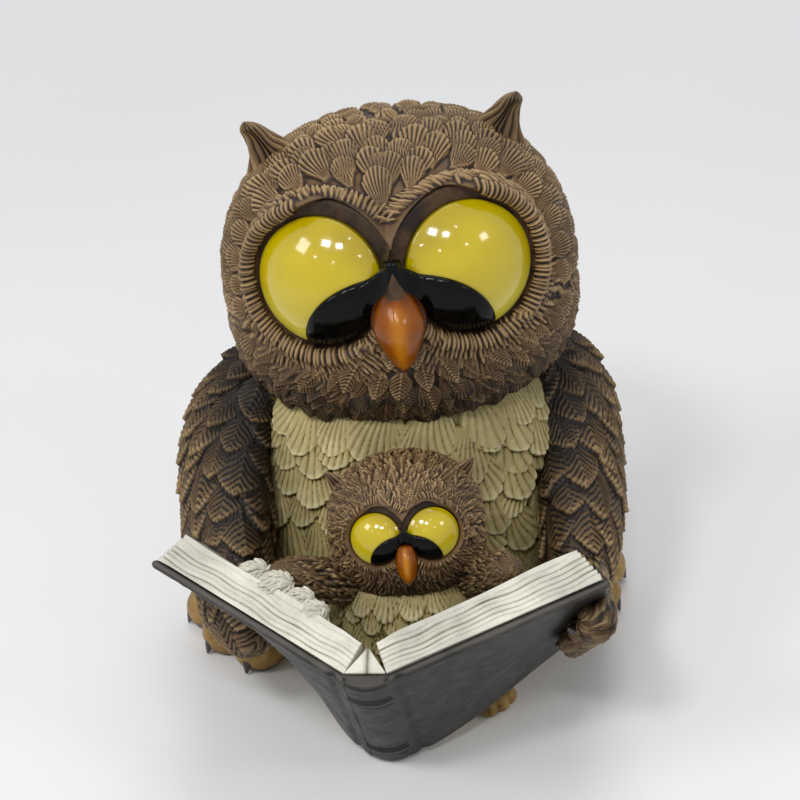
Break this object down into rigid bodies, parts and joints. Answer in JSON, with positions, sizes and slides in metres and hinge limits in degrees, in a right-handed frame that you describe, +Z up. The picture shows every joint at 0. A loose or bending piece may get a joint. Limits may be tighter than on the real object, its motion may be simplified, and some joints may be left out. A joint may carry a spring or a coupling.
{
  "type": "owl figurine",
  "caption": "Cast-resin owl figurine that reads an open book with a small owl in its lap, with feathered body, glossy domed eyes, clawed feet and a flat underside.",
  "frame": {"origin": "middle of the pad in the underside, on the surface that the figurine stands on", "axes": "+Z up, -Y is the way the owl faces, +X to the viewer's right when the face is seen from the front"},
  "size_m": [0.1206, 0.1283, 0.1386],
  "materials": {
    "brown_resin": "painted cast resin, satin, dark wash in the grooves",
    "wing_resin": "painted cast resin, satin, dark wash in the grooves",
    "cream_resin": "painted cast resin, satin, olive wash in the grooves",
    "eye_yellow": "yellow enamel under clear gloss",
    "gloss_black": "black enamel, high gloss",
    "beak_amber": "amber enamel, gloss",
    "claw_black": "black paint, satin gloss",
    "foot_ochre": "ochre paint with dark wash, satin",
    "book_charcoal": "charcoal paint, worn at the edges, satin",
    "page_resin": "off-white paint with grey leaf lines, satin",
    "felt_pad": "thin dark felt"
  },
  "bodies": {
    "root": {"torso": "brown_resin", "breast": "cream_resin", "head": "brown_resin", "left_eye": "eye_yellow", "right_eye": "eye_yellow", "left_pupil": "gloss_black", "right_pupil": "gloss_black", "beak": "beak_amber", "left_wing": "wing_resin", "right_wing": "wing_resin", "left_wing_claws": "claw_black", "right_wing_claws": "claw_black", "left_foot": "foot_ochre", "right_foot": "foot_ochre", "left_claws": "claw_black", "right_claws": "claw_black", "book_cover": "book_charcoal", "spine_lining": "page_resin", "left_pages": "page_resin", "right_pages": "page_resin", "baby_body": "cream_resin", "baby_head": "brown_resin", "baby_left_eye": "eye_yellow", "baby_right_eye": "eye_yellow", "baby_left_pupil": "gloss_black", "baby_right_pupil": "gloss_black", "baby_beak": "beak_amber", "baby_left_wing": "wing_resin", "baby_right_wing": "wing_resin", "baby_feet": "foot_ochre", "base_pad": "felt_pad"}
  },
  "joints": []
}
